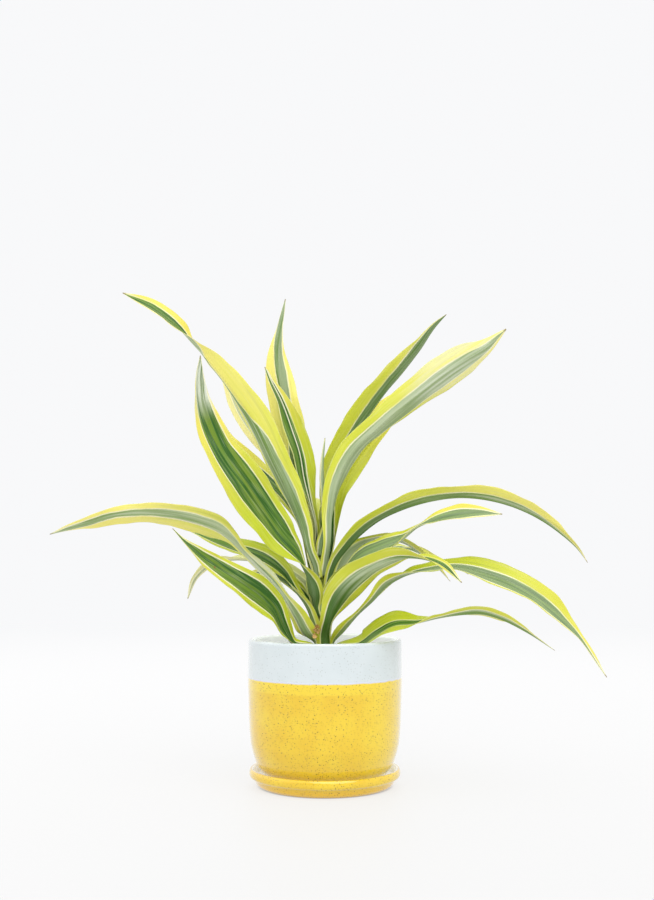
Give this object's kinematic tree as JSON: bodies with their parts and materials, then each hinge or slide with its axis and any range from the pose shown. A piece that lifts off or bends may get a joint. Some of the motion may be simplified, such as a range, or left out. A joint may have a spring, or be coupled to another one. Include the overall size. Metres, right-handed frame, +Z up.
{
  "type": "potted dracaena plant",
  "caption": "Dracaena with long arching lime-edged leaves on a short stem, in a two-tone glazed pot on its saucer.",
  "frame": {"origin": "middle of the saucer's underside", "axes": "+Z up, +X to the plant's right as seen from the front, +Y to the back"},
  "size_m": [0.4523, 0.2792, 0.4162],
  "materials": {
    "pot_glaze": "gloss",
    "saucer_glaze": "gloss",
    "leaf": "satin",
    "stem_bark": "matte",
    "soil": "matte"
  },
  "bodies": {
    "root": {"saucer": "saucer_glaze", "pot": "pot_glaze", "soil": "soil", "stem": "stem_bark", "leaf_back_left": "leaf", "leaf_back_low_left": "leaf", "leaf_back_low_right": "leaf", "leaf_back_middle": "leaf", "leaf_back_right": "leaf", "leaf_bud": "leaf", "leaf_folded": "leaf", "leaf_front_lime": "leaf", "leaf_left_arching": "leaf", "leaf_left_broad": "leaf", "leaf_left_low": "leaf", "leaf_left_middle": "leaf", "leaf_left_pale": "leaf", "leaf_left_tall": "leaf", "leaf_left_thin": "leaf", "leaf_right_arching": "leaf", "leaf_right_behind": "leaf", "leaf_right_broad": "leaf", "leaf_right_drooping": "leaf", "leaf_right_low": "leaf", "leaf_right_tall": "leaf", "leaf_right_twisted": "leaf", "leaf_right_waved": "leaf", "leaf_upright": "leaf"}
  },
  "joints": []
}
